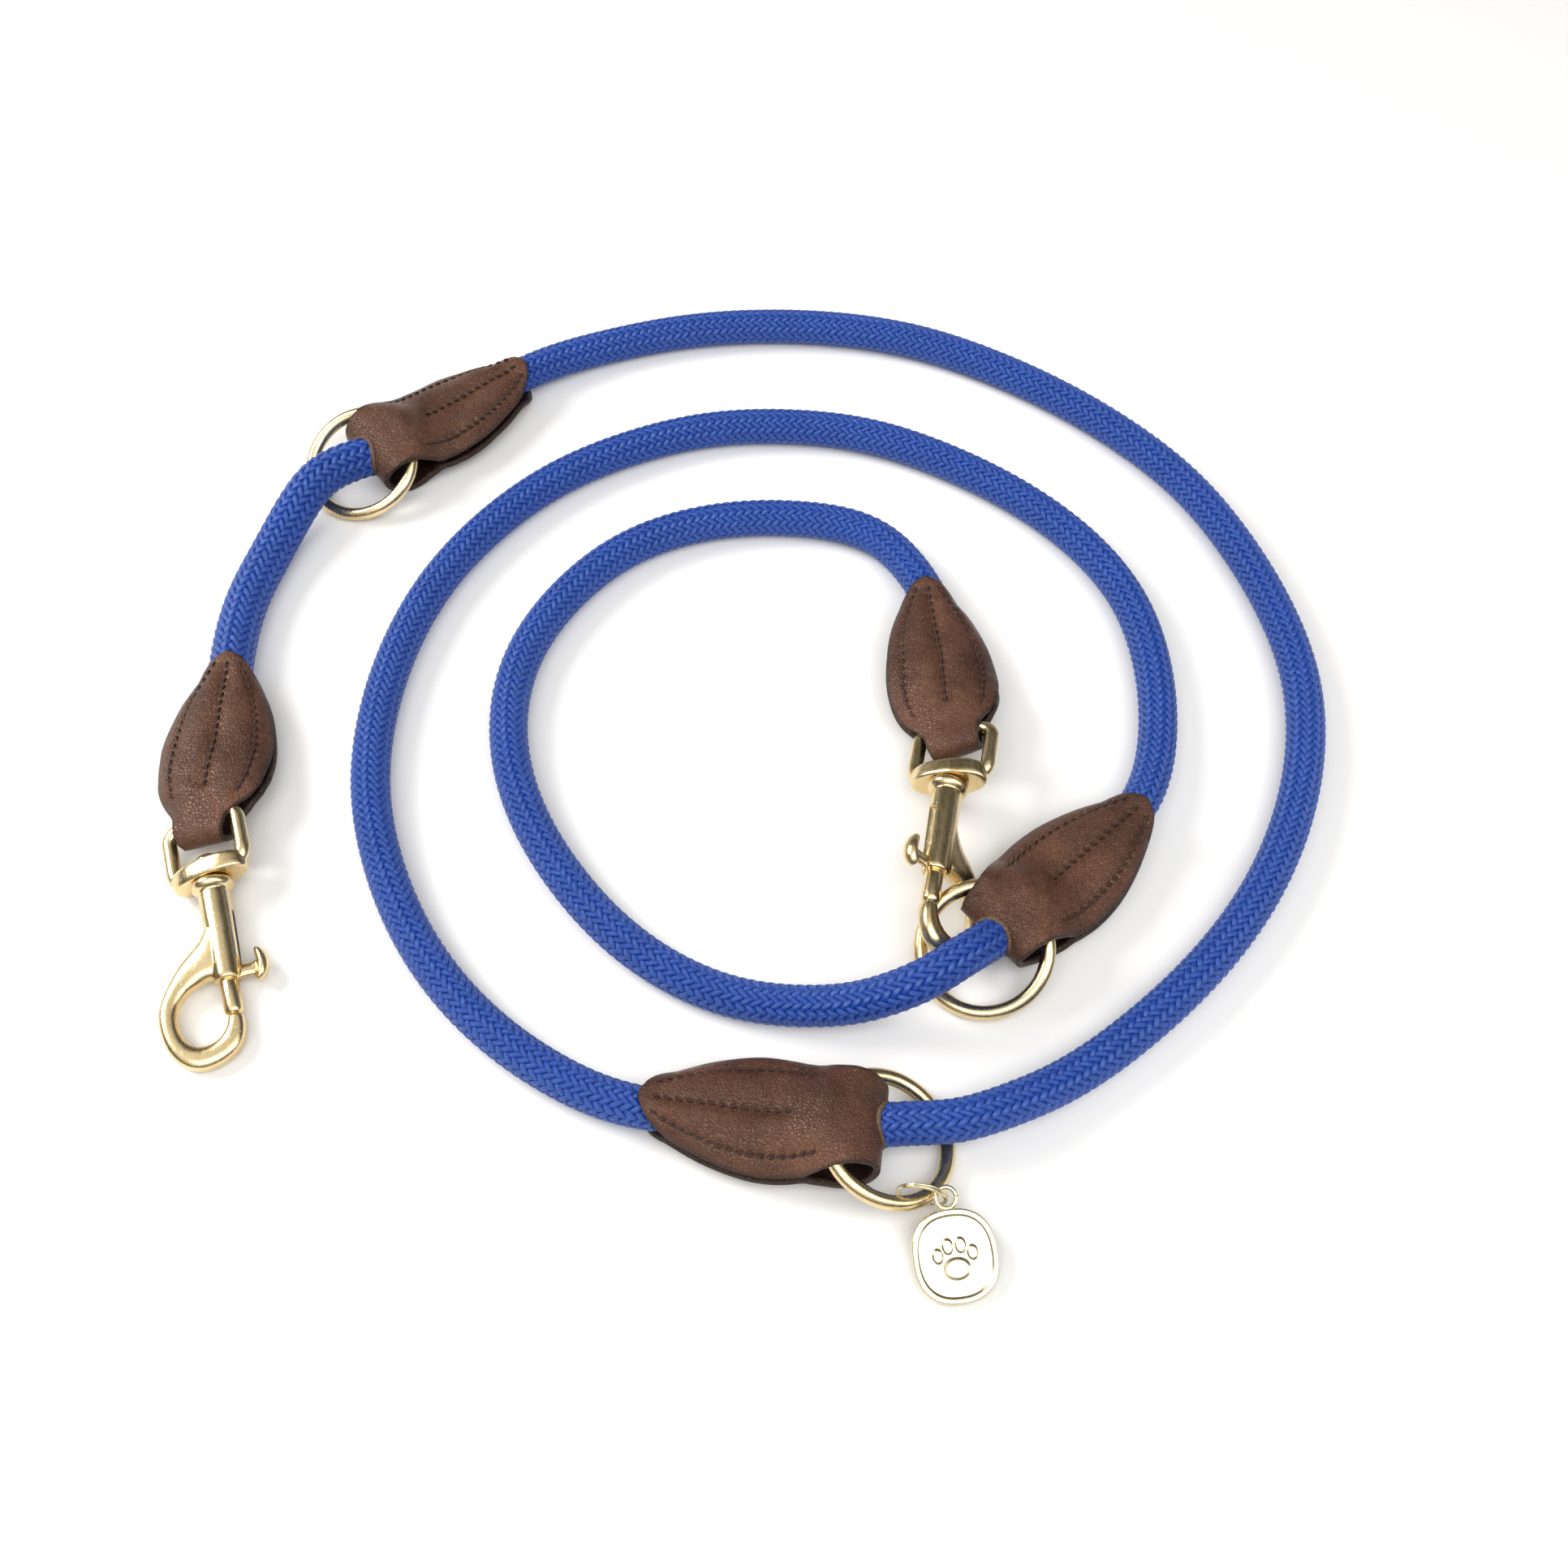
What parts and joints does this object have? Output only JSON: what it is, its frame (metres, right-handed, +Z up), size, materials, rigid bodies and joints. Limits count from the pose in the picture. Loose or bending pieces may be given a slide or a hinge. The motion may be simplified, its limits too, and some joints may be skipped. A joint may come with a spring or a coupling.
{
  "type": "lead rope",
  "caption": "Braided rope lead with leather end leaves, spring snap hooks on swivels, rings folded into stitched leather leaves, and a small tag.",
  "frame": {"origin": "on the surface it lies on, under the middle of the leather and metal pieces' box", "axes": "+X to the right of the layout, +Y away from the two snap hooks' mouths, +Z up"},
  "size_m": [0.3345, 0.3346, 0.0229],
  "materials": {
    "rope": "glossy braided filament yarn, royal blue",
    "leather": "waxed fine-grain hide, chocolate brown, darker at its edges",
    "thread": "waxed dark brown sewing thread",
    "brass": "polished with fine casting marks",
    "spring_steel": "plain spring wire",
    "pale_gold": "bright pale gold plating"
  },
  "bodies": {
    "lead": {"rope_1": "rope", "rope_2": "rope", "rope_3": "rope", "rope_4": "rope", "leaf_a": "leather", "leaf_b": "leather", "leaf_c": "leather", "leaf_d": "leather", "leaf_e": "leather", "seams_a": "thread", "seams_b": "thread", "seams_c": "thread", "seams_d": "thread", "seams_e": "thread"},
    "eye_1": {"eye_1": "brass"},
    "hook_1": {"hook_1": "brass", "stud_1": "brass", "spring_1": "spring_steel"},
    "bolt_1": {"bolt_1": "brass", "thumb_1": "brass"},
    "eye_2": {"eye_2": "brass"},
    "hook_2": {"hook_2": "brass", "stud_2": "brass", "spring_2": "spring_steel"},
    "bolt_2": {"bolt_2": "brass", "thumb_2": "brass"},
    "ring_b": {"ring_b": "brass"},
    "ring_c": {"ring_c": "brass"},
    "ring_d": {"ring_d": "brass"},
    "split_ring": {"split_ring": "pale_gold"},
    "tag": {"tag": "pale_gold"}
  },
  "joints": [
    {"name": "eye_1_swing", "type": "hinge", "parent": "lead", "child": "eye_1", "pos_m": [-0.12386, -0.02109, 0.00838], "axis": [-0.9061, -0.2505, -0.3408], "range_deg": [-70, 70]},
    {"name": "hook_1_swivel", "type": "hinge", "parent": "eye_1", "child": "hook_1", "pos_m": [-0.119, -0.0368, 0.007], "axis": [-0.2947, 0.9519, 0.0837], "continuous": true},
    {"name": "bolt_1_slide", "type": "slide", "parent": "hook_1", "child": "bolt_1", "axis": [-0.2947, 0.9519, 0.0837], "range_m": [0, 0.01], "stiffness_N_per_m": 300, "springref_m": -0.004, "deforming": ["spring_1"]},
    {"name": "eye_2_swing", "type": "hinge", "parent": "lead", "child": "eye_2", "pos_m": [0.08727, 0.00738, 0.01068], "axis": [-0.9044, 0.1328, -0.4054], "range_deg": [-4, 0]},
    {"name": "hook_2_swivel", "type": "hinge", "parent": "eye_2", "child": "hook_2", "pos_m": [0.0843, -0.0088, 0.012], "axis": [0.1799, 0.9804, -0.0802], "range_deg": [-1, 4]},
    {"name": "bolt_2_slide", "type": "slide", "parent": "hook_2", "child": "bolt_2", "axis": [0.1799, 0.9804, -0.0802], "range_m": [0, 0.01], "stiffness_N_per_m": 300, "springref_m": -0.004, "deforming": ["spring_2"]},
    {"name": "ring_b_swing", "type": "hinge", "parent": "lead", "child": "ring_b", "pos_m": [-0.08402, 0.1212, 0.01512], "axis": [0.6688, -0.7321, -0.129], "range_deg": [0, 16]},
    {"name": "ring_c_swing", "type": "hinge", "parent": "lead", "child": "ring_c", "pos_m": [0.04797, -0.11114, 0.01502], "axis": [0.0843, 0.99, -0.113], "range_deg": [0, 16]},
    {"name": "ring_d_swing", "type": "hinge", "parent": "lead", "child": "ring_d", "pos_m": [0.10278, -0.05001, 0.01497], "axis": [0.697, -0.7104, -0.0969], "range_deg": [0, 16]},
    {"name": "split_ring_swing", "type": "hinge", "parent": "ring_c", "child": "split_ring", "pos_m": [0.07286, -0.12718, 0.00588], "axis": [0.7453, 0.5639, -0.3557], "range_deg": [-10, 10]},
    {"name": "tag_swing", "type": "hinge", "parent": "split_ring", "child": "tag", "pos_m": [0.07773, -0.12824, 0.00787], "axis": [0.0379, -0.2696, 0.9622], "range_deg": [-10, 15]}
  ],
  "couplings": [
    {"joint": "ring_d_swing", "follows": "eye_2_swing", "ratio": -4}
  ]
}
